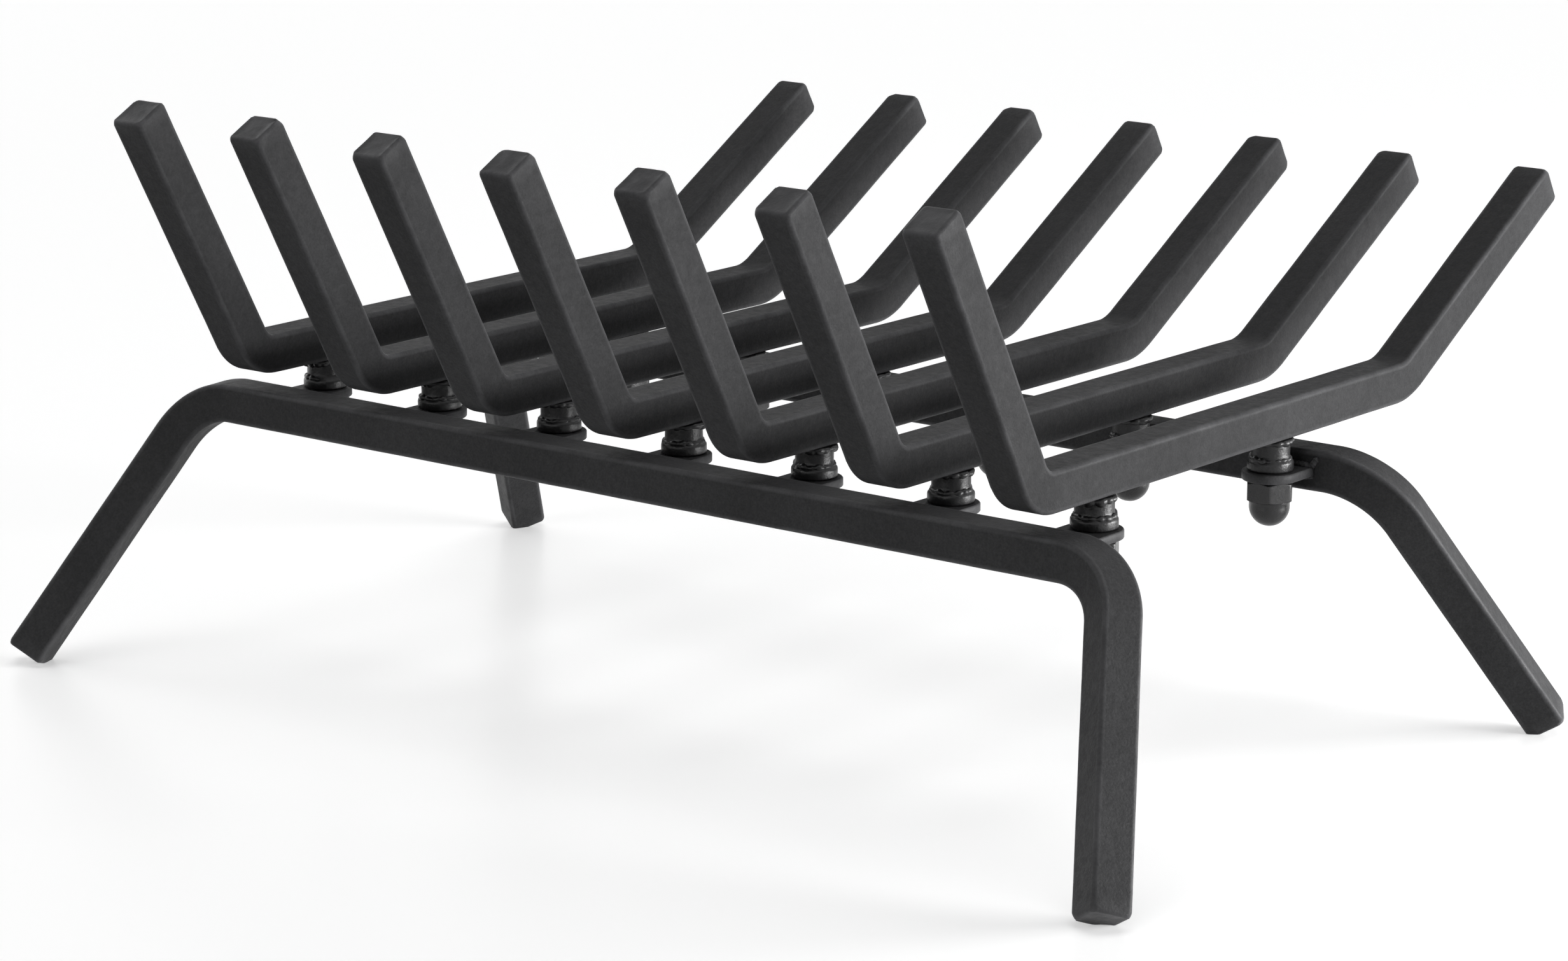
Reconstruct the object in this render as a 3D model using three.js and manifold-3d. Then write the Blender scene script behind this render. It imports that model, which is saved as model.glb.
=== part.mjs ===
// Fireplace log grate: seven bent square bars bolted across two bent leg frames.
// Millimetres, +Z up, front towards -Y, feet on the plane z = 0.
import * as THREE from 'three';
import { mergeVertices } from 'three/addons/utils/BufferGeometryUtils.js';
import Module from 'manifold-3d';

const wasm = await Module();
wasm.setup();

// ---------------------------------------------------------------- driving sizes
const barSize = 16; // square steel bar, across its flats
const barEdgeRadius = 1.6; // rolled corner of the bar
const fitGap = 0.3; // air between two pieces that seat on each other

// leg frames: one bar each, a level rail with a leg bent down at both ends
const railHeight = 107.5; // rail centre line above the floor
const railSpacing = 175; // front rail centre line to rear rail centre line
const railEndMargin = 3; // straight rail past the outermost tabs
const legBendRadius = 28; // centre line radius of the legs' bends
const legSplay = 42.5; // each foot stands this far out sideways from its rail corner
const legStride = 67; // and this far out to the front or to the rear
const footTrim = 3; // how much of each foot's low corner is ground level

// cradle bars: seat, steep front finger and low rear finger
const barCount = 7;
const barPitch = 64.3;
const barLift = 6.5; // underside of the cradle bars above the top of the rails
const frontOverhang = 43.5; // seat's front corner past the front studs
const rearOverhang = 87; // seat's rear corner past the rear studs
const frontFingerLength = 120; // corner to cut end, along the centre line
const rearFingerLength = 127;
const frontFingerRise = THREE.MathUtils.degToRad(61.8); // above the level seat
const rearFingerRise = THREE.MathUtils.degToRad(30.5); // above the level seat
const frontBendRadius = 13; // centre line radii of the cradle bars' bends
const rearBendRadius = 24;

// bolted joints between the cradle bars and the rails
const postDiameter = 15;
const postFootDiameter = 18;
const postFootHeight = 4;
const postFlareHeight = 2.5;
const studDiameter = 10;
const studChamfer = 1;
const frontTabReach = 28; // stud centre from the rail's inner face
const rearTabReach = 14;
const tabWidth = 22;
const tabThickness = 3.5;
const tabHoleClearance = 1; // hole diameter over the stud
const nutAcrossFlats = 17;
const nutHexHeight = 8;
const nutDomeDiameter = 15.6;
const nutHeight = 18;
const nutCornerChamfer = 1.2;
const nutDomeBevel = 2.2; // straight shoulder of the dome under its round top
const nutBoreClearance = 0.7; // bore diameter over the stud, for the thread's depth
const nutRoof = 3.5; // steel left above the blind bore
const studEngagement = 12; // stud length inside the nut

// ------------------------------------------------------------ fineness of curves
const bendSteps = 8;
const cornerSteps = 1;
const roundSteps = 12;
const tabEndSteps = 6;
const domeSteps = 3;
const weldTolerance = 1e-4; // vertices closer than this are one

// ------------------------------------------------------------------ worked out
const up = new THREE.Vector3(0, 0, 1);
const right = new THREE.Vector3(1, 0, 0);
const back = new THREE.Vector3(0, 1, 0);
const railTop = railHeight + barSize / 2;
const barUnderside = railTop + barLift;
const barCentreHeight = barUnderside + barSize / 2;
const tabTop = railHeight + tabThickness / 2; // welded half way up the rail
const tabUnderside = tabTop - tabThickness;
const postHeight = barUnderside - tabTop;
const railInnerReach = railSpacing / 2 - barSize / 2; // from the middle of the rails
const frontStudReach = railInnerReach - frontTabReach;
const rearStudReach = railInnerReach - rearTabReach;
const studLength = tabThickness + fitGap + studEngagement;
const nutSeat = tabUnderside - fitGap;
const barPlaces = Array.from({ length: barCount }, (_, i) => (i - (barCount - 1) / 2) * barPitch);

// -------------------------------------------------------------------- materials
function blackSteel(colour, roughness) {
  return new THREE.MeshStandardMaterial({ color: colour, roughness, metalness: 0.3 });
}

const barFinish = blackSteel(0x2e2e30, 0.62);
const frameFinish = blackSteel(0x2c2c2e, 0.6);
const hardwareFinish = blackSteel(0x28282a, 0.5);

// ------------------------------------------------------- solids for cut and join
function toSolid(geometry) {
  const bare = geometry.index ? geometry.toNonIndexed() : geometry.clone();
  bare.deleteAttribute('normal');
  bare.deleteAttribute('uv');
  const merged = mergeVertices(bare, weldTolerance);
  const vertProperties = new Float32Array(merged.attributes.position.array);
  const triVerts = new Uint32Array(merged.index.array);
  return new wasm.Manifold(new wasm.Mesh({ numProp: 3, vertProperties, triVerts }));
}

function toGeometry(solid) {
  const mesh = solid.getMesh();
  const geometry = new THREE.BufferGeometry();
  geometry.setAttribute('position', new THREE.BufferAttribute(mesh.vertProperties, 3));
  geometry.setIndex(new THREE.BufferAttribute(mesh.triVerts, 1));
  geometry.computeVertexNormals();
  return geometry;
}

function named(name, geometry, material) {
  const mesh = new THREE.Mesh(geometry, material);
  mesh.name = name;
  return mesh;
}

// A lathe turned about +Z: its profile is a list of [radius, height] pairs that starts
// and ends on the axis, lowest point first.
function turned(profile, segments) {
  const points = profile.map(([radius, height]) => new THREE.Vector2(radius, height));
  return new THREE.LatheGeometry(points, segments).rotateX(Math.PI / 2);
}

// ------------------------------------------------------------------- bent bars
// The centre line of a bent bar: straight runs between corners, each corner an arc. It has
// a station only where the bar starts, turns or ends, and the section is carried along
// without twisting.
class BentBarPath extends THREE.Curve {
  constructor(corners, bendRadii, startNormal) {
    super();
    const last = corners.length - 1;
    const headings = corners.slice(1).map((corner, i) => corner.clone().sub(corners[i]).normalize());
    this.stations = [corners[0].clone()];
    this.tangents = [headings[0].clone()];
    for (let k = 1; k < last; k += 1) {
      this.addBend(corners[k], headings[k - 1], headings[k], bendRadii[k - 1]);
    }
    this.stations.push(corners[last].clone());
    this.tangents.push(headings[last - 1].clone());
    this.startNormal = startNormal;
  }

  addBend(corner, into, out, radius) {
    const angle = into.angleTo(out);
    const axis = into.clone().cross(out).normalize();
    const inward = axis.clone().cross(into);
    const start = corner.clone().addScaledVector(into, -radius * Math.tan(angle / 2));
    const centre = start.clone().addScaledVector(inward, radius);
    for (let step = 0; step <= bendSteps; step += 1) {
      const turn = (angle * step) / bendSteps;
      const outward = inward.clone().negate().applyAxisAngle(axis, turn);
      this.stations.push(centre.clone().addScaledVector(outward, radius));
      this.tangents.push(into.clone().applyAxisAngle(axis, turn));
    }
  }

  getSpacedPoints() {
    return this.stations;
  }

  computeFrenetFrames() {
    const normals = [this.startNormal.clone()];
    for (let i = 1; i < this.tangents.length; i += 1) {
      const turn = new THREE.Quaternion().setFromUnitVectors(this.tangents[i - 1], this.tangents[i]);
      normals.push(normals[i - 1].clone().applyQuaternion(turn));
    }
    const binormals = normals.map((normal, i) => this.tangents[i].clone().cross(normal));
    return { tangents: this.tangents, normals, binormals };
  }
}

// Square section with rolled corners, centred on the bar's centre line.
function barSection() {
  const inner = barSize / 2 - barEdgeRadius;
  const section = new THREE.Shape();
  for (let corner = 0; corner < 4; corner += 1) {
    const quarter = Math.PI / 2;
    const middle = corner * quarter + quarter / 2;
    const centreX = inner * Math.sign(Math.cos(middle));
    const centreY = inner * Math.sign(Math.sin(middle));
    section.absarc(centreX, centreY, barEdgeRadius, corner * quarter, (corner + 1) * quarter, false);
  }
  section.closePath();
  return section;
}

function bentBar(path) {
  return new THREE.ExtrudeGeometry(barSection(), {
    steps: path.stations.length - 1,
    curveSegments: cornerSteps,
    extrudePath: path,
  });
}

// ------------------------------------------------------------------ leg frames
// Both frames are the same bent bar; the rear one is turned half round.
const legRun = new THREE.Vector3(legSplay, -legStride, -railHeight);
const legHeading = legRun.clone().normalize();
const legBendSetback = legBendRadius * Math.tan(right.angleTo(legHeading) / 2);
const railCornerReach = barPlaces[barCount - 1] + tabWidth / 2 + railEndMargin + legBendSetback;

// The lowest corner of a square-cut leg end hangs this far below the end's centre.
function footCornerDrop() {
  const bend = new THREE.Quaternion().setFromUnitVectors(right, legHeading);
  const flats = [up.clone().applyQuaternion(bend), back.clone().applyQuaternion(bend)];
  return flats.reduce((drop, flat) => drop + (Math.abs(flat.z) * barSize) / 2, 0);
}

function legFrame() {
  const endHeight = footCornerDrop() - footTrim;
  const reach = (railHeight - endHeight) / railHeight;
  const rightCorner = new THREE.Vector3(railCornerReach, 0, railHeight);
  const leftCorner = new THREE.Vector3(-railCornerReach, 0, railHeight);
  const rightEnd = rightCorner.clone().addScaledVector(legRun, reach);
  const leftEnd = new THREE.Vector3(-rightEnd.x, rightEnd.y, rightEnd.z);
  const leftHeading = leftCorner.clone().sub(leftEnd).normalize();
  const startNormal = up.clone().applyQuaternion(
    new THREE.Quaternion().setFromUnitVectors(right, leftHeading),
  );
  const corners = [leftEnd, leftCorner, rightCorner, rightEnd];
  const bar = toSolid(bentBar(new BentBarPath(corners, [legBendRadius, legBendRadius], startNormal)));
  const floorWidth = 2 * (rightEnd.x + barSize);
  const floorDepth = 2 * (legStride + barSize);
  const floor = new THREE.BoxGeometry(floorWidth, floorDepth, barSize);
  floor.translate(0, 0, -barSize / 2);
  return toGeometry(bar.subtract(toSolid(floor)));
}

// ----------------------------------------------------------------- cradle bars
function cradleBar() {
  const frontCorner = new THREE.Vector3(0, -(frontStudReach + frontOverhang), 0);
  const rearCorner = new THREE.Vector3(0, rearStudReach + rearOverhang, 0);
  const frontRun = new THREE.Vector3(0, -Math.cos(frontFingerRise), Math.sin(frontFingerRise));
  const rearRun = new THREE.Vector3(0, Math.cos(rearFingerRise), Math.sin(rearFingerRise));
  const frontTip = frontCorner.clone().addScaledVector(frontRun, frontFingerLength);
  const rearTip = rearCorner.clone().addScaledVector(rearRun, rearFingerLength);
  const corners = [frontTip, frontCorner, rearCorner, rearTip];
  return bentBar(new BentBarPath(corners, [frontBendRadius, rearBendRadius], right));
}

// ------------------------------------------------------------------ joint parts
// The post stands on the tab; its stud goes down through the tab into the nut.
// Height 0 is the top of the tab.
function post() {
  const shaft = postDiameter / 2;
  const foot = postFootDiameter / 2;
  const stud = studDiameter / 2;
  const tip = -studLength;
  return turned([
    [0, tip],
    [stud - studChamfer, tip],
    [stud, tip + studChamfer],
    [stud, fitGap],
    [foot, fitGap],
    [foot, postFootHeight],
    [shaft, postFootHeight + postFlareHeight],
    [shaft, postHeight - fitGap],
    [0, postHeight - fitGap],
  ], roundSteps);
}

// A flat tab that reaches inward (+Y) from the rail's inner face, its end rounded
// about the stud. The stud's axis is at the origin and the underside is at height 0.
function tab(reach) {
  const half = tabWidth / 2;
  const root = fitGap - reach;
  const outline = new THREE.Shape();
  outline.moveTo(-half, root);
  outline.lineTo(half, root);
  outline.lineTo(half, 0);
  outline.absarc(0, 0, half, 0, Math.PI, false);
  outline.closePath();
  const hole = new THREE.Path();
  hole.absarc(0, 0, (studDiameter + tabHoleClearance) / 2, 0, 2 * Math.PI, true);
  outline.holes.push(hole);
  return new THREE.ExtrudeGeometry(outline, {
    depth: tabThickness,
    bevelEnabled: false,
    curveSegments: tabEndSteps,
  });
}

// Domed cap nut, hanging below its seat at height 0.
function capNut() {
  const corner = nutAcrossFlats / Math.sqrt(3);
  const hexagon = new THREE.CylinderGeometry(corner, corner, nutHexHeight, 6).rotateX(Math.PI / 2);
  hexagon.translate(0, 0, -nutHexHeight / 2);
  const chamfer = turned([
    [0, -nutHexHeight],
    [corner - nutCornerChamfer, -nutHexHeight],
    [corner, nutCornerChamfer / 2 - nutHexHeight],
    [corner, -nutCornerChamfer / 2],
    [corner - nutCornerChamfer, 0],
    [0, 0],
  ], roundSteps);
  const domeRadius = nutDomeDiameter / 2;
  const domeRise = nutHeight - nutHexHeight - nutDomeBevel;
  const overlap = nutHexHeight / 2;
  const round = Array.from({ length: domeSteps + 1 }, (_, i) => {
    const turn = (Math.PI / 2) * (i / domeSteps);
    return [domeRadius * Math.sin(turn), -nutHeight + domeRise * (1 - Math.cos(turn))];
  });
  const dome = turned([...round, [domeRadius, -overlap], [0, -overlap]], roundSteps);
  const boreRadius = (studDiameter + nutBoreClearance) / 2;
  const bore = turned([
    [0, nutRoof - nutHeight],
    [boreRadius, nutRoof - nutHeight],
    [boreRadius, fitGap],
    [0, fitGap],
  ], roundSteps);
  const blank = toSolid(hexagon).intersect(toSolid(chamfer)).add(toSolid(dome));
  return toGeometry(blank.subtract(toSolid(bore)));
}

// ------------------------------------------------------------------- assembly
// One side of the grate, built as the front: the leg frame with its tabs, posts and nuts.
function legSide(side, tabReach) {
  const group = new THREE.Group();
  const rail = new THREE.Group();
  rail.position.y = -railSpacing / 2;
  rail.add(named(`${side}_leg_frame`, legFrame(), frameFinish));
  group.add(rail);
  const tabShape = tab(tabReach);
  const postShape = post();
  const nutShape = capNut();
  barPlaces.forEach((place, i) => {
    const joint = new THREE.Group();
    joint.position.set(place, tabReach - railInnerReach, 0);
    const number = side === 'front' ? i + 1 : barCount - i;
    const tabPiece = named(`${side}_tab_${number}`, tabShape, frameFinish);
    tabPiece.position.z = tabUnderside;
    const postPiece = named(`${side}_post_${number}`, postShape, hardwareFinish);
    postPiece.position.z = tabTop;
    const nutPiece = named(`${side}_cap_nut_${number}`, nutShape, hardwareFinish);
    nutPiece.position.z = nutSeat;
    joint.add(tabPiece, postPiece, nutPiece);
    group.add(joint);
  });
  return group;
}

const grate = new THREE.Group();
const frontSide = legSide('front', frontTabReach);
const rearSide = legSide('rear', rearTabReach);
rearSide.rotation.z = Math.PI;
grate.add(frontSide, rearSide);

const barShape = cradleBar();
barPlaces.forEach((place, i) => {
  const bar = named(`cradle_bar_${i + 1}`, barShape, barFinish);
  bar.position.set(place, 0, barCentreHeight);
  grate.add(bar);
});

// The origin is on the floor, under the middle of the whole grate's outer size.
const extent = new THREE.Box3().setFromObject(grate);
const middle = extent.getCenter(new THREE.Vector3());
grate.position.set(-middle.x, -middle.y, 0);

export default grate;
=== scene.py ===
"""Looks of a fireplace log grate: seven bent square bars bolted across two bent leg frames."""

import math

import bmesh
import bpy
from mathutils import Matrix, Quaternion, Vector, noise


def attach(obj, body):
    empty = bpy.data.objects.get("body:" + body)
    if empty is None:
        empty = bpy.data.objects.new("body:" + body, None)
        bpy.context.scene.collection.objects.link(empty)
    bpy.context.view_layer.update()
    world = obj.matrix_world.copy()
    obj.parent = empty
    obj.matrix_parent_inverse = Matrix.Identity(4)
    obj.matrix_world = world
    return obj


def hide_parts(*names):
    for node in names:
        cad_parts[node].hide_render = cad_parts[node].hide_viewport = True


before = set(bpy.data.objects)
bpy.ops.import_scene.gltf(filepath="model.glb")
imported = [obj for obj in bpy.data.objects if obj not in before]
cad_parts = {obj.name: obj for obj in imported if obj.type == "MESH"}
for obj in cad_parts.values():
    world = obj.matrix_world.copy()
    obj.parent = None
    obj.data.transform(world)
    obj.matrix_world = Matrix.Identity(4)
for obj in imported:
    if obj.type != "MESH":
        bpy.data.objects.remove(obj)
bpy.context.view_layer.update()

MM = 0.001
UP = Vector((0, 0, 1))
RIGHT = Vector((1, 0, 0))

# ------------------------------------------------------------------ sizes, in mm
BAR = 16.0
BAR_EDGE = 1.6
END_ZONE = 4.4  # length of a bar's cut end kept clear of other stations
CUT_END_WEAR_HIGHLIGHT = 1.8  # how much lighter a cut end is coloured, against 1 for a bar's edge: rubbed bare, and painted light for the light the end face catches
GAP = 0.3
BAR_COUNT = 7
BAR_PITCH = 64.3
RAILS_MIDDLE_Y = -52.624  # middle of the two rails, from the origin
RAIL_SPACING = 175.0
RAIL_HEIGHT = 107.5
LEG_BEND_RADIUS = 28.0
LEG_SPLAY = 42.5
LEG_STRIDE = 67.0
FOOT_TRIM = 3.0
RAIL_END_MARGIN = 3.0
BAR_LIFT = 6.5
FRONT_OVERHANG = 43.5
REAR_OVERHANG = 87.0
FRONT_FINGER = 120.0
REAR_FINGER = 127.0
FRONT_RISE = math.radians(61.8)
REAR_RISE = math.radians(30.5)
FRONT_BEND_RADIUS = 13.0
REAR_BEND_RADIUS = 24.0
TAB_REACH = {"front": 28.0, "rear": 14.0}
TAB_WIDTH = 22.0
TAB_THICKNESS = 3.5
TAB_HOLE = 11.0
POST = 15.0
POST_FOOT = 18.0
POST_FOOT_HEIGHT = 4.0
POST_FLARE = 2.5
STUD = 10.0
STUD_ENGAGEMENT = 12.0
NUT_FLATS = 17.0
NUT_HEX = 8.0
NUT_HEIGHT = 18.0
NUT_DOME = 15.6
NUT_SHOULDER = 2.2
NUT_BORE = 10.7
NUT_ROOF = 3.5
THREAD_PITCH = 1.5
THREAD_DEPTH = 0.75
CUT_ROUNDING = 1.4  # how far a cut end's edge is rounded back along the bar
CLIP_LEAST = 0.9  # hammering at the corner that lost least, and how much more the others may lose
CLIP_RANGE = 3.4
CLIP_SLOPE = 0.75
BEND_SWELL = 0.075  # how far a bend's inner side bulges, against how hard it is bent
LONG_WAVE = (19.0, 0.16)  # wavelength and depth of the sides' unevenness
SHORT_WAVE = (5.0, 0.05)
FLOOR_CLEARANCE = 0.02  # the feet's flats stay this far above the floor
PUDDLE = 1.7  # length of one ripple of a straight weld
UPPER_BEAD = 2.0
LOWER_BEAD = 1.8
CLIMBING_BEAD = 1.5
CROWN_BEAD = 1.5
FILLET_BEAD = 1.1

RAIL_TOP = RAIL_HEIGHT + BAR / 2
BAR_UNDERSIDE = RAIL_TOP + BAR_LIFT
BAR_CENTRE = BAR_UNDERSIDE + BAR / 2
TAB_TOP = RAIL_HEIGHT + TAB_THICKNESS / 2
TAB_UNDERSIDE = TAB_TOP - TAB_THICKNESS
NUT_SEAT = TAB_UNDERSIDE - GAP
RAIL_INNER = RAIL_SPACING / 2 - BAR / 2
STUD_Y = {"front": RAILS_MIDDLE_Y - RAIL_INNER + TAB_REACH["front"],
          "rear": RAILS_MIDDLE_Y + RAIL_INNER - TAB_REACH["rear"]}
BAR_PLACES = [(i - (BAR_COUNT - 1) / 2) * BAR_PITCH for i in range(BAR_COUNT)]


# ------------------------------------------------------------------ mesh helpers
def rough(point, size, depth, seed=0.0):
    """A smooth unevenness at a point, from 0 to depth, in mm; size is its wavelength."""
    where = Vector((point[0] / size + seed, point[1] / size - seed, point[2] / size + 0.7 * seed))
    return depth * (0.5 + 0.5 * noise.noise(where))


def new_piece(name, verts, faces, wear_and_highlight, material, slot, nodes):
    """A mesh piece from points in mm, each with a share of edge wear and painted edge highlight from 0 to
    1.
    """
    mesh = bpy.data.meshes.new(name)
    mesh.from_pydata([Vector(v) * MM for v in verts], [], faces)
    layer = mesh.attributes.new("wear_and_highlight", "FLOAT", "POINT")
    layer.data.foreach_set("value", wear_and_highlight)
    mesh.polygons.foreach_set("use_smooth", [True] * len(mesh.polygons))
    mesh.materials.append(material)
    mesh.update()
    obj = bpy.data.objects.new(name, mesh)
    bpy.context.scene.collection.objects.link(obj)
    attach(obj, "root")
    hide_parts(*nodes)
    return obj


def bridge(faces, first, second, count):
    """Quads between two rings of vertices that start at first and second."""
    for i in range(count):
        j = (i + 1) % count
        faces.append((first + i, first + j, second + j, second + i))


# --------------------------------------------------------------------- bent bars
def section(inset=0.0):
    """(u, v, share of edge wear and painted highlight) round the bar's rolled square section, shrunk by
    inset.
    """
    half = BAR / 2 - inset
    radius = max(BAR_EDGE - 0.8 * inset, 0.35)
    arc_steps = 5
    points = []
    for corner in range(4):
        start = corner * math.pi / 2
        middle = start + math.pi / 4
        cu = math.copysign(half - radius, math.cos(middle))
        cv = math.copysign(half - radius, math.sin(middle))
        for j in range(arc_steps + 1):
            a = start + (math.pi / 2) * j / arc_steps
            # The rounded corners are lightened most at mid-arc: edge wear plus a painted highlight along
            # each edge.
            wear_highlight = 0.45 + 0.55 * math.sin(math.pi * j / arc_steps)
            points.append((cu + radius * math.cos(a), cv + radius * math.sin(a), wear_highlight))
        end = Vector((cu + radius * math.cos(start + math.pi / 2),
                      cv + radius * math.sin(start + math.pi / 2)))
        turn = start + math.pi
        step = Vector((math.cos(turn), math.sin(turn)))
        run = 2 * (half - radius)
        for share in (0.04, 0.13, 0.26, 0.5, 0.74, 0.87, 0.96):
            p = end + step * run * share
            points.append((p.x, p.y, 0.0))
    return points


class BarPath:
    """Stations along a bent bar: place, heading, bend direction and how hard it is bent there."""

    def __init__(self, corners, radii, normal, spacing=7.0, bend_steps=22):
        self.places = []
        self.headings = []
        self.bends = []
        last = len(corners) - 1
        headings = [(corners[i + 1] - corners[i]).normalized() for i in range(last)]
        start = corners[0]
        for k in range(1, last):
            into, out, radius = headings[k - 1], headings[k], radii[k - 1]
            angle = into.angle(out)
            axis = into.cross(out).normalized()
            inward = axis.cross(into)
            entry = corners[k] - into * radius * math.tan(angle / 2)
            centre = entry + inward * radius
            self.straight(start, entry, into, spacing)
            for step in range(bend_steps + 1):
                turn = Quaternion(axis, angle * step / bend_steps)
                ease = math.sin(math.pi * step / bend_steps) ** 0.5
                towards = turn @ inward
                self.places.append(centre - towards * radius)
                self.headings.append(turn @ into)
                self.bends.append(towards * ease * (BAR / 2) / radius)
            start = self.places.pop()
            self.headings.pop()
            self.bends.pop()
        self.straight(start, corners[last], headings[-1], spacing)
        self.places.append(corners[last].copy())
        self.headings.append(headings[-1].copy())
        self.bends.append(Vector())
        self.normals = [normal.copy()]
        for i in range(1, len(self.places)):
            turn = self.headings[i - 1].rotation_difference(self.headings[i])
            self.normals.append(turn @ self.normals[-1])

    def straight(self, start, end, heading, spacing):
        """Adds the stations of an unbent stretch, without its end."""
        count = max(1, round((end - start).length / spacing))
        for i in range(count):
            self.places.append(start.lerp(end, i / count))
            self.headings.append(heading.copy())
            self.bends.append(Vector())


def clip(u, v, seed):
    """How far a hammered cut end is knocked back near its corners, each corner by its own amount."""
    corner = (3.0 * math.copysign(1, u), 5.0 * math.copysign(1, v), seed)
    depth = CLIP_LEAST + rough(corner, 1.0, CLIP_RANGE, seed)
    return CLIP_SLOPE * max(0.0, abs(u) + abs(v) - (BAR - depth)) + rough((u, v, seed), 7.0, 0.2, seed)


def sweep_bar(path, seed):
    """Vertices, faces and shares of edge wear and painted highlight of a bar along a path, with softened
    and slightly uneven cut ends.
    """
    verts, faces, wear_and_highlight = [], [], []
    size = len(section())

    def ring(i, along, inset, wear_highlight_floor, shrink=1.0, dome=0.0):
        """One section at station i, moved along the bar and shrunk where it belongs to a cut end."""
        place, heading, normal = path.places[i], path.headings[i], path.normals[i]
        binormal = heading.cross(normal)
        bend = path.bends[i]
        bu, bv = bend.dot(normal), bend.dot(binormal)
        hard = math.hypot(bu, bv)
        first = len(verts)
        for u, v, wear_highlight in section(inset):
            if hard > 1e-6:
                inner = (u * bu + v * bv) / (hard * BAR / 2)
                lateral = (v * bu - u * bv) / hard
                swell = BEND_SWELL * inner * hard
                u += -bv / hard * lateral * swell
                v += bu / hard * lateral * swell
            clipped = clip(u * shrink, v * shrink, seed + i) if along else 0.0
            into_bar = -clipped if i else clipped
            spot = place + heading * (along + dome + into_bar) + (normal * u + binormal * v) * shrink
            outward = (normal * u + binormal * v).normalized()
            spot = spot - outward * rough(spot, *LONG_WAVE, seed) - outward * rough(spot, *SHORT_WAVE, seed)
            verts.append(spot)
            wear_and_highlight.append(max(wear_highlight, wear_highlight_floor))
        return first

    rings = []
    last = len(path.places) - 1
    # share of the rounding along the bar, share of it inwards, edge wear and painted highlight
    cuts = [(0.01, 1.0, CUT_END_WEAR_HIGHLIGHT), (0.1, 0.56, 1.7), (0.32, 0.26, 1.2), (0.62, 0.07, 0.8), (1.0, 0.0, 0.4)]
    # size against the section, and how far the cut face sinks there
    cut_face = [(0.3, 0.1), (0.62, 0.05), (0.88, 0.0)]
    centre_start = len(verts)
    verts.append(path.places[0] + path.headings[0] * 0.15)
    wear_and_highlight.append(CUT_END_WEAR_HIGHLIGHT)
    for shrink, sink in cut_face:
        along = 0.1 + rough((shrink * 31, seed, 3), 1.0, 0.25)
        rings.append(ring(0, along, CUT_ROUNDING, CUT_END_WEAR_HIGHLIGHT, shrink, sink))
    for share, inset, wear_highlight in cuts:
        rings.append(ring(0, share * CUT_ROUNDING, inset * CUT_ROUNDING, wear_highlight))
    for i in range(1, last):
        if (path.places[i] - path.places[0]).length < END_ZONE:
            continue
        if (path.places[last] - path.places[i]).length < END_ZONE:
            continue
        rings.append(ring(i, 0.0, 0.0, 0.0))
    for share, inset, wear_highlight in reversed(cuts):
        rings.append(ring(last, -share * CUT_ROUNDING, inset * CUT_ROUNDING, wear_highlight))
    for shrink, sink in reversed(cut_face):
        along = -0.1 - rough((shrink * 17, seed, 9), 1.0, 0.25)
        rings.append(ring(last, along, CUT_ROUNDING, CUT_END_WEAR_HIGHLIGHT, shrink, -sink))
    centre_end = len(verts)
    verts.append(path.places[last] - path.headings[last] * 0.15)
    wear_and_highlight.append(CUT_END_WEAR_HIGHLIGHT)
    for first, second in zip(rings, rings[1:]):
        bridge(faces, first, second, size)
    for i in range(size):
        j = (i + 1) % size
        faces.append((centre_start, rings[0] + j, rings[0] + i))
        faces.append((centre_end, rings[-1] + i, rings[-1] + j))
    return verts, faces, wear_and_highlight


def face_outwards(obj):
    """Points the faces outwards."""
    work = bmesh.new()
    work.from_mesh(obj.data)
    bmesh.ops.recalc_face_normals(work, faces=work.faces)
    work.to_mesh(obj.data)
    work.free()


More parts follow.
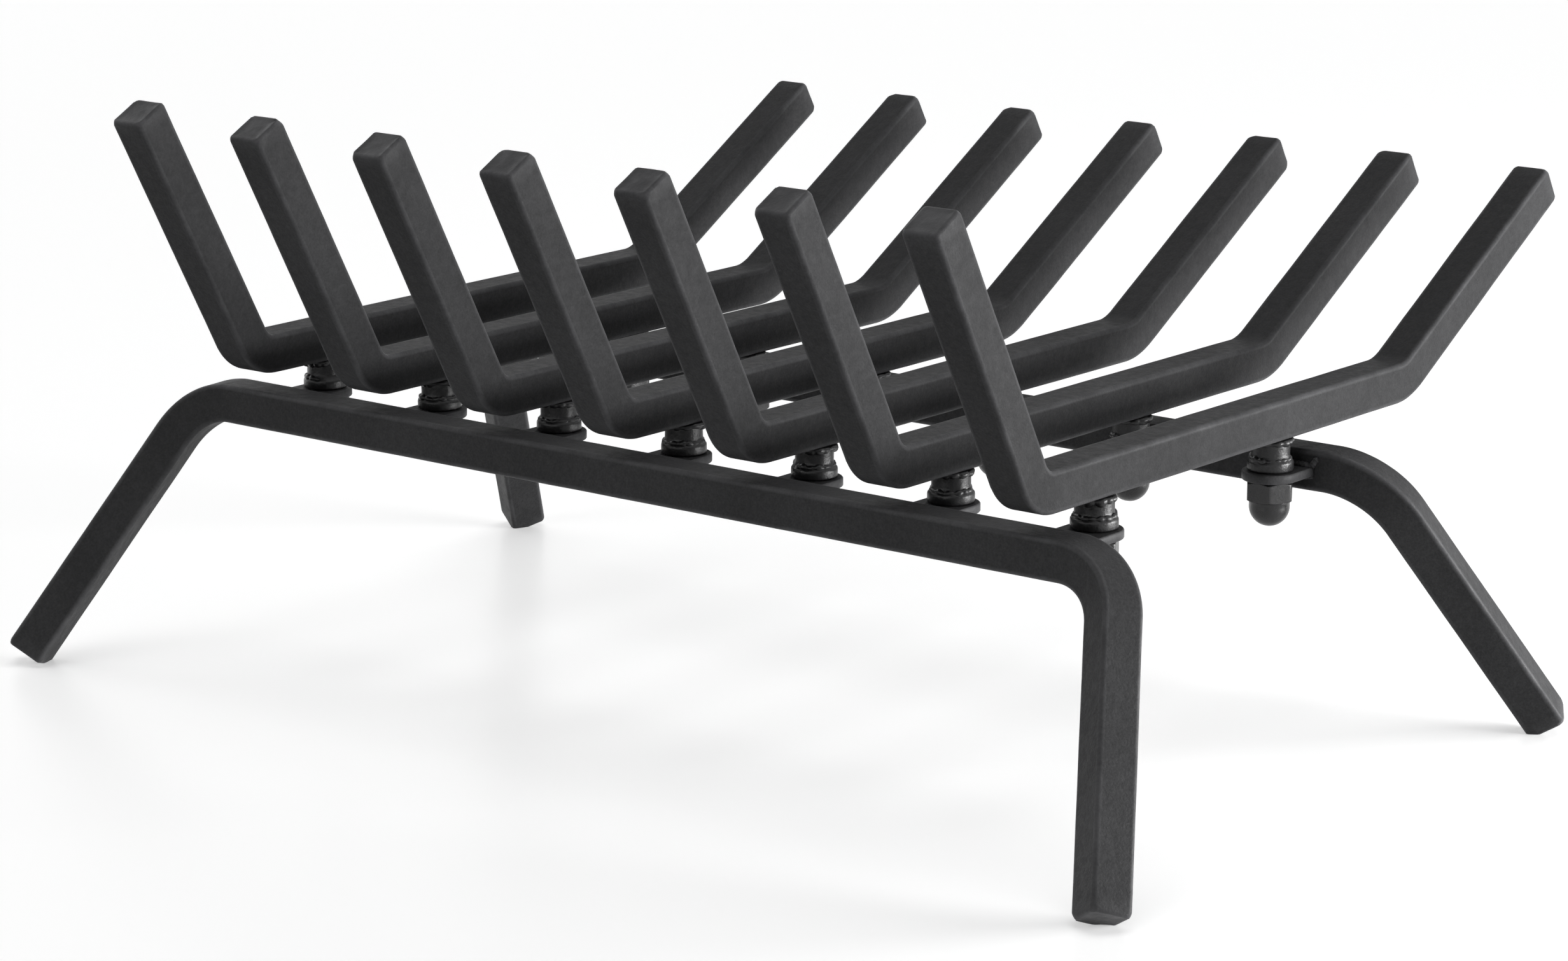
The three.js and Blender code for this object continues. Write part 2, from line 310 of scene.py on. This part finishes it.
# --------------------------------------------------------------------- materials
def coat(name, colour, roughness, gloss, grain, wear_highlight_gain):
    """A matt black heat-resistant coating: fine grain, orange peel, cloudy tone, rubbed edges lightened
    both as wear and as a painted highlight.
    """
    material = bpy.data.materials.new(name)
    material.use_nodes = True
    tree = material.node_tree
    tree.nodes.clear()
    make, link = tree.nodes.new, tree.links.new

    def noise_at(scale, detail, rough_share=0.5):
        node = make("ShaderNodeTexNoise")
        node.inputs["Scale"].default_value = scale
        node.inputs["Detail"].default_value = detail
        node.inputs["Roughness"].default_value = rough_share
        link(where.outputs["Object"], node.inputs["Vector"])
        return node

    def spread(source, low, high, out_low, out_high):
        node = make("ShaderNodeMapRange")
        node.inputs["From Min"].default_value = low
        node.inputs["From Max"].default_value = high
        node.inputs["To Min"].default_value = out_low
        node.inputs["To Max"].default_value = out_high
        link(source, node.inputs["Value"])
        return node.outputs["Result"]

    def maths(operation, a, b):
        node = make("ShaderNodeMath")
        node.operation = operation
        for socket, value in zip(node.inputs, (a, b)):
            if isinstance(value, float):
                socket.default_value = value
            else:
                link(value, socket)
        return node.outputs[0]

    where = make("ShaderNodeTexCoord")
    shader = make("ShaderNodeBsdfPrincipled")
    output = make("ShaderNodeOutputMaterial")
    link(shader.outputs[0], output.inputs["Surface"])
    fine = noise_at(1100.0, 3.0, 0.65)
    peel = noise_at(260.0, 2.0)
    mottle = noise_at(420.0, 3.0, 0.6)
    cloud = noise_at(22.0, 3.0)
    speck = noise_at(2600.0, 1.0)
    wear_highlight = make("ShaderNodeAttribute")
    wear_highlight.attribute_name = "wear_and_highlight"

    tone = maths("MULTIPLY", spread(cloud.outputs["Fac"], 0.3, 0.7, 0.86, 1.16),
                 spread(fine.outputs["Fac"], 0.3, 0.7, 0.82, 1.18))
    tone = maths("MULTIPLY", tone, spread(mottle.outputs["Fac"], 0.3, 0.7, 0.88, 1.12))
    # Edges are lightened by the wear-and-highlight share: partly rubbed paint, partly a painted highlight
    # along them.
    rubbed_highlight = maths("MULTIPLY", wear_highlight.outputs["Fac"],
                   spread(noise_at(70.0, 3.0, 0.55).outputs["Fac"], 0.35, 0.65, 0.45, 1.0))
    lift = maths("ADD", tone, maths("MULTIPLY", rubbed_highlight, wear_highlight_gain))
    colour_node = make("ShaderNodeVectorMath")
    colour_node.operation = "SCALE"
    colour_node.inputs[0].default_value = colour
    link(lift, colour_node.inputs["Scale"])
    link(colour_node.outputs["Vector"], shader.inputs["Base Color"])

    dull = maths("ADD", spread(peel.outputs["Fac"], 0.3, 0.7, roughness - 0.05, roughness + 0.05),
                 spread(speck.outputs["Fac"], 0.35, 0.65, -0.03, 0.03))
    link(maths("SUBTRACT", dull, maths("MULTIPLY", rubbed_highlight, 0.1)), shader.inputs["Roughness"])
    shader.inputs["Specular IOR Level"].default_value = gloss

    height = maths("ADD", maths("MULTIPLY", fine.outputs["Fac"], 0.5),
                   maths("MULTIPLY", peel.outputs["Fac"], 0.8))
    bump = make("ShaderNodeBump")
    bump.inputs["Strength"].default_value = grain
    bump.inputs["Distance"].default_value = 0.00035
    link(height, bump.inputs["Height"])
    link(bump.outputs["Normal"], shader.inputs["Normal"])
    return material


bar_coat = coat("bar_coat", (0.027, 0.027, 0.028), roughness=0.54, gloss=0.05, grain=0.7, wear_highlight_gain=1.3)
# The frames have the same coating as the bars, coloured a little lighter: painted light for the extra light
# on the rails' front faces.
frame_coat = coat("frame_coat", (0.031, 0.031, 0.032), roughness=0.5, gloss=0.06, grain=0.7, wear_highlight_gain=1.4)
# The posts' colour is made darker than the frame's: painted shade for the shadow they stand in under the
# bars.
post_coat = coat("post_coat", (0.011, 0.011, 0.0115), roughness=0.38, gloss=0.3, grain=0.7, wear_highlight_gain=0.8)
nut_black = coat("nut_black", (0.013, 0.013, 0.0135), roughness=0.3, gloss=0.35, grain=0.3, wear_highlight_gain=1.5)


# -------------------------------------------------------------------- cradle bars
def cradle_bar(number, x):
    """One bar bent twice: front finger, level seat, rear finger."""
    front_corner = Vector((x, STUD_Y["front"] - FRONT_OVERHANG, BAR_CENTRE))
    rear_corner = Vector((x, STUD_Y["rear"] + REAR_OVERHANG, BAR_CENTRE))
    front_tip = front_corner + FRONT_FINGER * Vector((0, -math.cos(FRONT_RISE), math.sin(FRONT_RISE)))
    rear_tip = rear_corner + REAR_FINGER * Vector((0, math.cos(REAR_RISE), math.sin(REAR_RISE)))
    path = BarPath([front_tip, front_corner, rear_corner, rear_tip],
                   [FRONT_BEND_RADIUS, REAR_BEND_RADIUS], RIGHT)
    verts, faces, wear_and_highlight = sweep_bar(path, 3.1 * number)
    bar = new_piece(f"bar_{number}", verts, faces, wear_and_highlight, bar_coat, "bar_coat",
                    [f"cradle_bar_{number}"])
    face_outwards(bar)


# --------------------------------------------------------------------- leg frames
def leg_frame(side):
    """One bar bent twice: a level rail and two splayed legs, their feet ground level."""
    facing = 1.0 if side == "front" else -1.0
    run = Vector((LEG_SPLAY, -LEG_STRIDE, -RAIL_HEIGHT))
    heading = run.normalized()
    setback = LEG_BEND_RADIUS * math.tan(RIGHT.angle(heading) / 2)
    corner_x = BAR_PLACES[-1] + TAB_WIDTH / 2 + RAIL_END_MARGIN + setback
    bend = RIGHT.rotation_difference(heading)
    flats = [bend @ UP, bend @ Vector((0, 1, 0))]
    drop = sum(abs(f.z) * BAR / 2 for f in flats)
    reach = (RAIL_HEIGHT - (drop - FOOT_TRIM)) / RAIL_HEIGHT
    right_corner = Vector((corner_x, 0, RAIL_HEIGHT))
    left_corner = Vector((-corner_x, 0, RAIL_HEIGHT))
    right_end = right_corner + run * reach
    left_end = Vector((-right_end.x, right_end.y, right_end.z))
    corners = [left_end, left_corner, right_corner, right_end]
    middle = Vector((0, RAILS_MIDDLE_Y - facing * RAIL_SPACING / 2, 0))
    placed = [Vector((facing * c.x, facing * c.y, c.z)) + middle for c in corners]
    first = (placed[1] - placed[0]).normalized()
    normal = (RIGHT * facing).rotation_difference(first) @ UP
    path = BarPath(placed, [LEG_BEND_RADIUS, LEG_BEND_RADIUS], normal, bend_steps=30)
    verts, faces, wear_and_highlight = sweep_bar(path, 5.3 if side == "front" else 8.9)
    rail = new_piece(f"{side}_frame", verts, faces, wear_and_highlight, frame_coat, "frame_coat",
                     [f"{side}_leg_frame"])
    work = bmesh.new()
    work.from_mesh(rail.data)
    whole = work.verts[:] + work.edges[:] + work.faces[:]
    cut = bmesh.ops.bisect_plane(work, geom=whole, plane_co=(0, 0, FLOOR_CLEARANCE * MM), plane_no=UP,
                                 clear_inner=True)
    rim = [e for e in cut["geom_cut"] if isinstance(e, bmesh.types.BMEdge)]
    bmesh.ops.holes_fill(work, edges=rim)
    bmesh.ops.recalc_face_normals(work, faces=work.faces)
    work.to_mesh(rail.data)
    work.free()


# ------------------------------------------------------------------ bolted joints
def turn_profile(levels, segments, centre, seed, lumps=0.0):
    """A closed body of revolution from (radius, height, edge wear and painted highlight) levels, the ends
    on the axis.
    """
    verts, faces, wear_and_highlight = [], [], []
    rings = []
    low = Vector((centre[0], centre[1], levels[0][1]))
    verts.append(low)
    wear_and_highlight.append(levels[0][2])
    for radius, height, wear_highlight in levels[1:-1]:
        rings.append(len(verts))
        for i in range(segments):
            a = 2 * math.pi * i / segments
            out = Vector((math.cos(a), math.sin(a), 0))
            spot = Vector((centre[0], centre[1], height)) + out * radius
            spot -= out * min(rough(spot, 2.2, lumps, seed), radius * 0.2)
            verts.append(spot)
            wear_and_highlight.append(wear_highlight)
    top = len(verts)
    verts.append(Vector((centre[0], centre[1], levels[-1][1])))
    wear_and_highlight.append(levels[-1][2])
    for first, second in zip(rings, rings[1:]):
        bridge(faces, first, second, segments)
    for i in range(segments):
        j = (i + 1) % segments
        faces.append((0, rings[0] + j, rings[0] + i))
        faces.append((top, rings[-1] + i, rings[-1] + j))
    return verts, faces, wear_and_highlight


def join(parts):
    """One list of vertices, faces and shares of edge wear and painted highlight out of several."""
    verts, faces, wear_and_highlight = [], [], []
    for v, f, w in parts:
        base = len(verts)
        verts += v
        faces += [tuple(base + i for i in face) for face in f]
        wear_and_highlight += w
    return verts, faces, wear_and_highlight


def post_levels(base, top):
    """Threaded stud below, bell-shaped foot on the tab, shaft up to the cradle bar."""
    stud, shaft, foot = STUD / 2, POST / 2, POST_FOOT / 2
    tip = TAB_UNDERSIDE - GAP - STUD_ENGAGEMENT
    levels = [(0, tip, 0.2), (stud - 1.2, tip, 0.3), (stud - 1.0, tip + 0.1, 0.4)]
    z = tip + 0.8
    while z < TAB_UNDERSIDE - 0.6:
        levels.append((stud - THREAD_DEPTH, z, 0.0))
        levels.append((stud, z + THREAD_PITCH / 2, 0.6))
        z += THREAD_PITCH
    levels += [(stud - 0.2, base - 0.05, 0.0), (stud, base, 0.0), (foot - 0.5, base + 0.02, 0.2),
               (foot - 0.12, base + 0.2, 0.8), (foot, base + 0.6, 0.7)]
    levels += [(foot, base + POST_FOOT_HEIGHT - 1.2, 0.3), (foot - 0.1, base + POST_FOOT_HEIGHT - 0.5, 0.9)]
    for i in range(7):
        t = i / 6
        swell = (1 - t) ** 1.7
        levels.append((shaft + (foot - shaft - 0.4) * swell,
                       base + POST_FOOT_HEIGHT - 0.1 + t * POST_FLARE, 0.2))
    levels += [(shaft, top - 2.6, 0.05), (shaft, top - 0.3, 0.1),
               (shaft - 0.3, top, 0.1), (0, top, 0)]
    return levels


def bead_ring(centre, height, radius, thickness, seed, ceiling, ripples=13):
    """A weld bead round a post: a closed lumpy ring that fills the corner, uneven all the way round."""
    verts, faces, wear_and_highlight = [], [], []
    around, across = 114, 12
    for i in range(around):
        a = 2 * math.pi * i / around
        lump = abs(math.sin(a * ripples / 2 + 0.5 * math.sin(3 * a + seed))) ** 0.6
        wander = noise.noise(Vector((1.7 * math.cos(a), 1.7 * math.sin(a), seed)))
        size = thickness * (0.62 + 0.38 * lump) * (0.85 + 0.7 * wander)
        drift = 0.8 * noise.noise(Vector((2 * math.cos(a), 2 * math.sin(a), seed + 5)))
        for j in range(across):
            b = 2 * math.pi * j / across
            r = radius + 0.3 * drift + size * math.cos(b)
            z = min(height + drift + 1.15 * size * math.sin(b), ceiling)
            verts.append(Vector((centre[0] + r * math.cos(a), centre[1] + r * math.sin(a), z)))
            # Each ripple's crest is coloured lighter: a painted highlight on the weld bead.
            wear_and_highlight.append(0.35 * lump)
    for i in range(around):
        k = (i + 1) % around
        for j in range(across):
            n = (j + 1) % across
            faces.append((i * across + j, k * across + j, k * across + n, i * across + n))
    return verts, faces, wear_and_highlight


def bead_line(start, end, thickness, seed, squash=(1.0, 1.0)):
    """A weld bead between two points: overlapping puddles with tapered, closed ends."""
    verts, faces, wear_and_highlight = [], [], []
    along = end - start
    length = along.length
    heading = along.normalized()
    side = heading.cross(UP).normalized()
    over = side.cross(heading)
    steps, across = 72, 14
    for i in range(steps + 1):
        t = i / steps
        s = t * length
        taper = math.sqrt(max(0.0, 1 - abs(2 * t - 1) ** 7))
        phase = (s / PUDDLE + 0.3 * noise.noise(Vector((s / 3, seed, 0)))) % 1.0
        lump = (1 - phase) ** 0.5
        size = thickness * taper * (0.74 + 0.26 * lump) + 0.02
        size *= 0.9 + 0.25 * noise.noise(Vector((s / 4, seed + 4, 2)))
        drift = side * 0.3 * noise.noise(Vector((s / 5, seed, 7)))
        for j in range(across):
            b = 2 * math.pi * j / across
            out = side * math.cos(b) * squash[0] + over * math.sin(b) * squash[1]
            sag = heading * (-0.45 * thickness * abs(math.sin(b)) * taper)
            verts.append(start + heading * s + drift + out * size + sag)
            # Each ripple's crest is coloured lighter: a painted highlight on the weld bead.
            wear_and_highlight.append(0.8 * lump)
    for i in range(steps):
        bridge(faces, i * across, (i + 1) * across, across)
    faces.append(tuple(range(across)))
    faces.append(tuple(reversed(range(steps * across, (steps + 1) * across))))
    return verts, faces, wear_and_highlight


def tab_plate(x, y, inward, reach, seed):
    """A flat tab from the rail's inner face to the stud, rounded about it, with its hole."""
    half, hole = TAB_WIDTH / 2, TAB_HOLE / 2
    back = reach - GAP
    count = 96

    def edge(a, inset):
        """Distance from the hole's middle to the tab's outline at an angle."""
        c, s = math.cos(a), math.sin(a)
        if s >= 0:
            return half - inset
        side = (half - inset) / abs(c) if abs(c) > 1e-9 else 1e9
        root = (back - inset) / abs(s)
        return min(side, root)

    levels = []
    soft = 0.45
    for share in (0.0, 0.4, 1.0):
        levels.append(("outer", soft * (1 - share) ** 1.3, TAB_TOP - soft * share ** 1.3, 0.9))
    for share in (1.0, 0.4, 0.0):
        levels.append(("outer", soft * (1 - share) ** 1.3, TAB_UNDERSIDE + soft * share ** 1.3, 0.9))
    levels = ([("hole", 0.0, TAB_UNDERSIDE + 0.3, 0.4), ("hole", 0.0, TAB_TOP - 0.3, 0.4),
               ("hole", -0.3, TAB_TOP, 0.5), ("mix", 0.5, TAB_TOP, 0.0), ("mix", 0.94, TAB_TOP, 0.0)]
              + levels
              + [("mix", 0.94, TAB_UNDERSIDE, 0.0), ("mix", 0.5, TAB_UNDERSIDE, 0.0),
                 ("hole", -0.3, TAB_UNDERSIDE, 0.5)])
    verts, faces, wear_and_highlight = [], [], []
    corner = math.atan2(back, half)
    base_angles = [2 * math.pi * i / count for i in range(count)]
    for exact in (math.pi + corner, 2 * math.pi - corner):
        nearest = min(range(count), key=lambda i: abs(base_angles[i] - exact))
        base_angles[nearest] = exact
    for kind, amount, z, wear_highlight in levels:
        for a in base_angles:
            if kind == "hole":
                r = hole - amount
            elif kind == "outer":
                r = edge(a, amount)
            else:
                r = hole + 0.3 + (edge(a, soft) - hole - 0.3) * amount
            dx, dy = r * math.cos(a), r * math.sin(a)
            spot = Vector((x + dx, y + inward * dy, z))
            if kind == "outer" and dy > -back + 1:
                spot -= Vector((math.cos(a), inward * math.sin(a), 0)) * rough(spot, 6.0, 0.18, seed)
            verts.append(spot)
            wear_and_highlight.append(wear_highlight)
    for level in range(len(levels)):
        bridge(faces, level * count, ((level + 1) % len(levels)) * count, count)
    return verts, faces, wear_and_highlight


def cap_nut(x, y, turn):
    """A domed cap nut hung below its seat: chamfered hexagon, shoulder, round dome, blind bore."""
    apothem = NUT_FLATS / 2
    corner = apothem / math.cos(math.pi / 6)
    count = 108
    sharpness, corner_loss = 60.0, 0.12
    verts, faces, wear_and_highlight = [], [], []

    def hexagon(a):
        """Distance to the hexagon's side at an angle, with its corners eased."""
        local = (a + math.pi / 6) % (math.pi / 3) - math.pi / 6
        flat = apothem / math.cos(local)
        eased = corner - math.log(math.exp(-sharpness * (flat - corner)) + 1e-9) / sharpness
        return eased - corner_loss * (abs(local) / (math.pi / 6)) ** 14

    dome = NUT_DOME / 2
    rise = NUT_HEIGHT - NUT_HEX - NUT_SHOULDER
    levels = []
    bore = NUT_BORE / 2
    levels.append((bore, NUT_ROOF - NUT_HEIGHT, None, 0.0))
    levels.append((bore, -0.5, None, 0.0))
    levels.append((bore + 0.5, 0.0, None, 0.2))
    levels.append((apothem - 0.55, 0.0, None, 0.1))
    for i in range(7):
        t = i / 6
        levels.append((apothem - 0.45 + t * (corner - apothem + 0.55), -0.05 - 0.9 * t ** 1.5, "hex", 0.3))
    for z in (-2.6, -4.0, -5.4):
        levels.append((corner + 1, z, "hex", 0.0))
    for i in range(7):
        t = 1 - i / 6
        levels.append((apothem - 0.45 + t * (corner - apothem + 0.55),
                       0.05 + 0.9 * t ** 1.5 - NUT_HEX, "hex", 0.3))
    levels.append((dome + 0.55, -NUT_HEX - 0.02, None, 0.0))
    levels.append((dome + 0.18, -NUT_HEX - 0.12, None, 0.0))
    levels.append((dome, -NUT_HEX - 0.45, None, 0.0))
    levels.append((dome, -NUT_HEX - NUT_SHOULDER, None, 0.0))
    for i in range(1, 14):
        t = math.pi / 2 * i / 14
        levels.append((dome * math.cos(t), -NUT_HEX - NUT_SHOULDER - rise * math.sin(t), None, 0.0))
    for radius, z, kind, wear_highlight in levels:
        for i in range(count):
            a = 2 * math.pi * i / count
            r = min(hexagon(a), radius) if kind else radius
            hex_wear_highlight = wear_highlight
            if kind:
                local = abs((a + math.pi / 6) % (math.pi / 3) - math.pi / 6) / (math.pi / 6)
                hex_wear_highlight = max(wear_highlight, local ** 10)
            verts.append(Vector((x + r * math.cos(a + turn), y + r * math.sin(a + turn), NUT_SEAT + z)))
            wear_and_highlight.append(hex_wear_highlight)
    for level in range(len(levels) - 1):
        bridge(faces, level * count, (level + 1) * count, count)
    roof = len(verts)
    verts.append(Vector((x, y, NUT_SEAT + NUT_ROOF - NUT_HEIGHT)))
    wear_and_highlight.append(0.0)
    pole = len(verts)
    verts.append(Vector((x, y, NUT_SEAT - NUT_HEIGHT)))
    wear_and_highlight.append(0.0)
    last = (len(levels) - 1) * count
    for i in range(count):
        j = (i + 1) % count
        faces.append((roof, j, i))
        faces.append((pole, last + i, last + j))
    return verts, faces, wear_and_highlight


def joint(side, number, x):
    """One bolted joint: tab with its welds, post with its stud and welds, cap nut."""
    inward = 1.0 if side == "front" else -1.0
    y = STUD_Y[side]
    seed = 2.7 * number + (0.0 if side == "front" else 31.0)
    plate = tab_plate(x, y, inward, TAB_REACH[side], seed)
    root = y - inward * (TAB_REACH[side] - 0.6)
    half = TAB_WIDTH / 2 - 0.2
    upper = bead_line(Vector((x - half, root, TAB_TOP + 0.25)), Vector((x + half, root, TAB_TOP + 0.25)),
                      UPPER_BEAD, seed, (1.0, 0.9))
    lower = bead_line(Vector((x + half, root, TAB_UNDERSIDE - 0.25)),
                      Vector((x - half, root, TAB_UNDERSIDE - 0.25)), LOWER_BEAD, seed + 9, (1.0, 0.9))
    climbs = [bead_line(Vector((x + s * (half - 0.6), root, TAB_TOP + 0.5)),
                        Vector((x + s * (half + 1.6), root - inward * 0.5, RAIL_TOP - 2.2)),
                        CLIMBING_BEAD, seed + 5 + s)
              for s in (-1.0, 1.0)]
    tab = new_piece(f"{side}_plate_{number}", *join([plate, upper, lower] + climbs), frame_coat,
                    "frame_coat", [f"{side}_tab_{number}"])
    shaft = turn_profile(post_levels(TAB_TOP + GAP, BAR_UNDERSIDE - GAP), 48, (x, y), seed, 0.22)
    crown = bead_ring((x, y), BAR_UNDERSIDE - 1.2, POST / 2 + 0.1, CROWN_BEAD, seed,
                      BAR_UNDERSIDE - 0.05)
    fillet = bead_ring((x, y), TAB_TOP + GAP + POST_FOOT_HEIGHT + 0.5, POST / 2 + 0.05,
                       FILLET_BEAD, seed + 3, BAR_UNDERSIDE, 15)
    post = new_piece(f"{side}_boss_{number}", *join([shaft, crown, fillet]), post_coat, "post_coat",
                     [f"{side}_post_{number}"])
    tightened = 0.37 * number + inward
    nut = new_piece(f"{side}_nut_{number}", *cap_nut(x, y, tightened), nut_black,
                    "nut_black", [f"{side}_cap_nut_{number}"])
    for piece in (tab, post, nut):
        face_outwards(piece)


for index, place in enumerate(BAR_PLACES):
    cradle_bar(index + 1, place)
    for end in ("front", "rear"):
        joint(end, index + 1, place)
for end in ("front", "rear"):
    leg_frame(end)


# ------------------------------------------------------------------------- stage
def seen_rays(tree):
    """1 on rays from the camera and on their reflections and refractions, else 0."""
    rays = tree.nodes.new("ShaderNodeLightPath")
    seen = rays.outputs["Is Camera Ray"]
    for kind in ("Is Glossy Ray", "Is Transmission Ray"):
        either = tree.nodes.new("ShaderNodeMath")
        either.operation = "MAXIMUM"
        tree.links.new(seen, either.inputs[0])
        tree.links.new(rays.outputs[kind], either.inputs[1])
        seen = either.outputs[0]
    return seen


def floor():
    """A white floor that shows the shadows and looks lit only where it is seen."""
    material = bpy.data.materials.new("pale_floor")
    material.use_nodes = True
    tree = material.node_tree
    tree.nodes.clear()
    make, link = tree.nodes.new, tree.links.new
    shader = make("ShaderNodeBsdfPrincipled")
    shader.inputs["Base Color"].default_value = (0.86, 0.86, 0.86, 1)
    shader.inputs["Roughness"].default_value = 0.32
    shader.inputs["Specular IOR Level"].default_value = 0.14
    glow = make("ShaderNodeEmission")
    glow.inputs["Color"].default_value = (1, 1, 1, 1)
    seen = seen_rays(tree)
    dim = make("ShaderNodeMath")
    dim.operation = "MULTIPLY"
    dim.inputs[1].default_value = 0.4
    link(seen, dim.inputs[0])
    link(dim.outputs[0], glow.inputs["Strength"])
    total = make("ShaderNodeAddShader")
    link(shader.outputs[0], total.inputs[0])
    link(glow.outputs[0], total.inputs[1])
    output = make("ShaderNodeOutputMaterial")
    link(total.outputs[0], output.inputs["Surface"])
    mesh = bpy.data.meshes.new("floor")
    mesh.from_pydata([(-9, -9, 0), (9, -9, 0), (9, 9, 0), (-9, 9, 0)], [], [(0, 1, 2, 3)])
    mesh.materials.append(material)
    obj = bpy.data.objects.new("floor", mesh)
    bpy.context.scene.collection.objects.link(obj)


def softbox(name, place, aim, width, height, power):
    """A rectangular light, sizes in metres and power in watts."""
    data = bpy.data.lights.new(name, "AREA")
    data.shape = "RECTANGLE"
    data.size, data.size_y = width, height
    data.energy = power
    lamp = bpy.data.objects.new(name, data)
    lamp.location = place
    lamp.rotation_mode = "QUATERNION"
    lamp.rotation_quaternion = (Vector(aim) - Vector(place)).to_track_quat("-Z", "Y")
    bpy.context.scene.collection.objects.link(lamp)


def wide_sun(name, direction, spread, strength):
    """A broad light from a direction, its spread in degrees."""
    data = bpy.data.lights.new(name, "SUN")
    data.angle = math.radians(spread)
    data.energy = strength
    lamp = bpy.data.objects.new(name, data)
    lamp.rotation_mode = "QUATERNION"
    lamp.rotation_quaternion = Vector(direction).to_track_quat("Z", "Y")
    bpy.context.scene.collection.objects.link(lamp)


def sky():
    """A white backdrop where it is seen, and a faint light elsewhere."""
    world = bpy.data.worlds.new("studio")
    bpy.context.scene.world = world
    world.use_nodes = True
    tree = world.node_tree
    tree.nodes.clear()
    make, link = tree.nodes.new, tree.links.new
    ambient = make("ShaderNodeBackground")
    ambient.inputs["Color"].default_value = (1, 1, 1, 1)
    ambient.inputs["Strength"].default_value = 0.03
    backdrop = make("ShaderNodeBackground")
    backdrop.inputs["Color"].default_value = (1, 1, 1, 1)
    backdrop.inputs["Strength"].default_value = 1.0
    pick = make("ShaderNodeMixShader")
    link(seen_rays(tree), pick.inputs[0])
    link(ambient.outputs[0], pick.inputs[1])
    link(backdrop.outputs[0], pick.inputs[2])
    output = make("ShaderNodeOutputWorld")
    link(pick.outputs[0], output.inputs["Surface"])


floor()
sky()
softbox("key", (1.25, 0.65, 0.2), aim=(0.05, 0, 0.14), width=0.9, height=0.36, power=36)
wide_sun("top", (0.0, 0.1, 1.0), spread=50.0, strength=0.95)
wide_sun("fill", (-0.1, -1.0, 0.27), spread=45.0, strength=1.0)
wide_sun("rim", (-1.0, 0.1, 0.35), spread=40.0, strength=0.7)

# ------------------------------------------------------------------------ camera
YAW, PITCH = 0.6750974, 0.2334835
CAMERA_PLACE = (1.09014, -1.40389, 0.50144)
FOCAL_PIXELS = 7070.91
PICTURE_WIDTH = 2464.0  # in pixels
SENSOR_WIDTH = 36.0
lens = bpy.data.cameras.new("camera")
lens.sensor_width = SENSOR_WIDTH
lens.lens = SENSOR_WIDTH * FOCAL_PIXELS / PICTURE_WIDTH
lens.clip_start, lens.clip_end = 0.05, 60.0
camera = bpy.data.objects.new("camera", lens)
camera.location = CAMERA_PLACE
view = Vector((-math.sin(YAW) * math.cos(PITCH), math.cos(YAW) * math.cos(PITCH), -math.sin(PITCH)))
camera.rotation_mode = "QUATERNION"
camera.rotation_quaternion = view.to_track_quat("-Z", "Y")
bpy.context.scene.collection.objects.link(camera)
bpy.context.scene.camera = camera
bpy.context.scene.view_settings.view_transform = "Standard"
